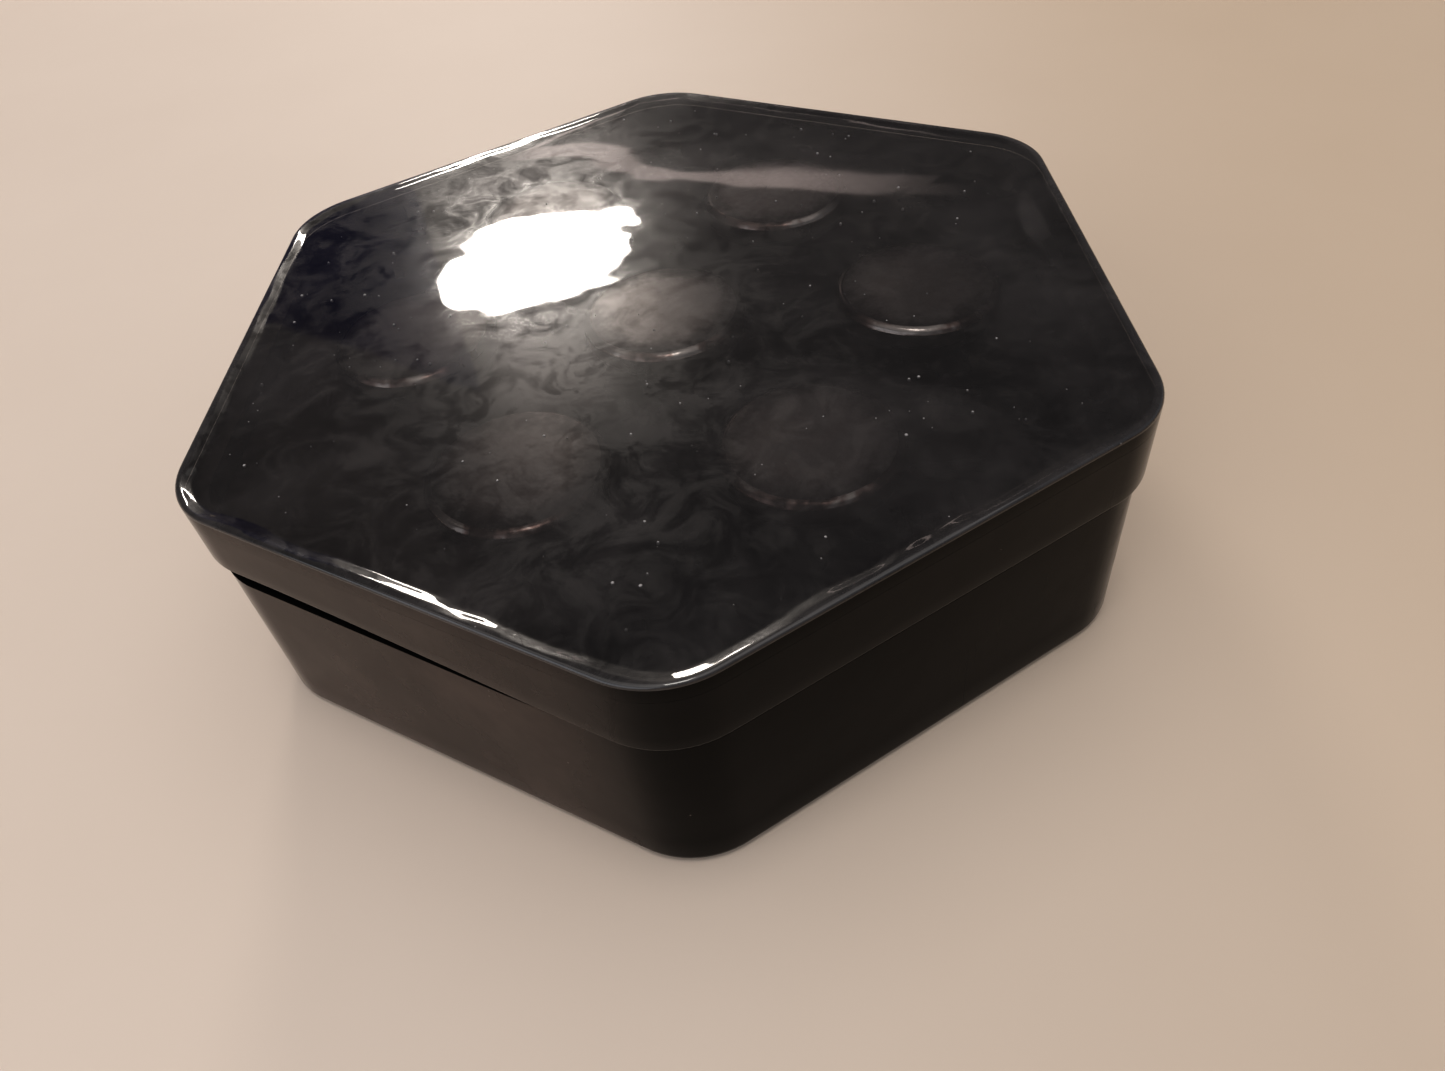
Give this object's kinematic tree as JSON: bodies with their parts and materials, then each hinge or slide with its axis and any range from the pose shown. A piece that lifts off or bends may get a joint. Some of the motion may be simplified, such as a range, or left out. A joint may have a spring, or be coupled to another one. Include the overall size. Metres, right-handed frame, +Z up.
{
  "type": "boxed rosin cake",
  "caption": "Hexagonal rosin case: a shallow tub holding a cake of rosin, and a lift-off lid with round tokens sealed under a smoky clear top.",
  "frame": {"origin": "middle of the case's underside, on the surface it stands on", "axes": "+Z up, the way the lid lifts off; the hexagon's corners lie on X, and two of its sides face +Y and -Y"},
  "size_m": [0.0778, 0.0692, 0.0214],
  "materials": {
    "case_black": "moulded gloss black, lightly handled",
    "lid_black": "moulded gloss black, lightly handled",
    "smoky_clear": "poured clear layer tinted nearly black, high gloss, small bubbles",
    "token": "dull warm grey with a bright rim",
    "rosin": "dark amber, glassy where fresh and dusty where bowed",
    "pad_felt": "thin dark red felt"
  },
  "bodies": {
    "case_body": {"base_tub": "case_black", "cake_pad": "pad_felt", "rosin_cake": "rosin"},
    "lid_body": {"lid_shell": "lid_black", "lid_top_pour": "smoky_clear", "disc_centre": "token", "disc_1": "token", "disc_2": "token", "disc_3": "token", "disc_4": "token", "disc_5": "token", "disc_6": "token"}
  },
  "joints": [
    {"name": "lid_lift", "type": "slide", "parent": "case_body", "child": "lid_body", "axis": [0, 0, 1], "range_m": [0, 0.03]}
  ]
}
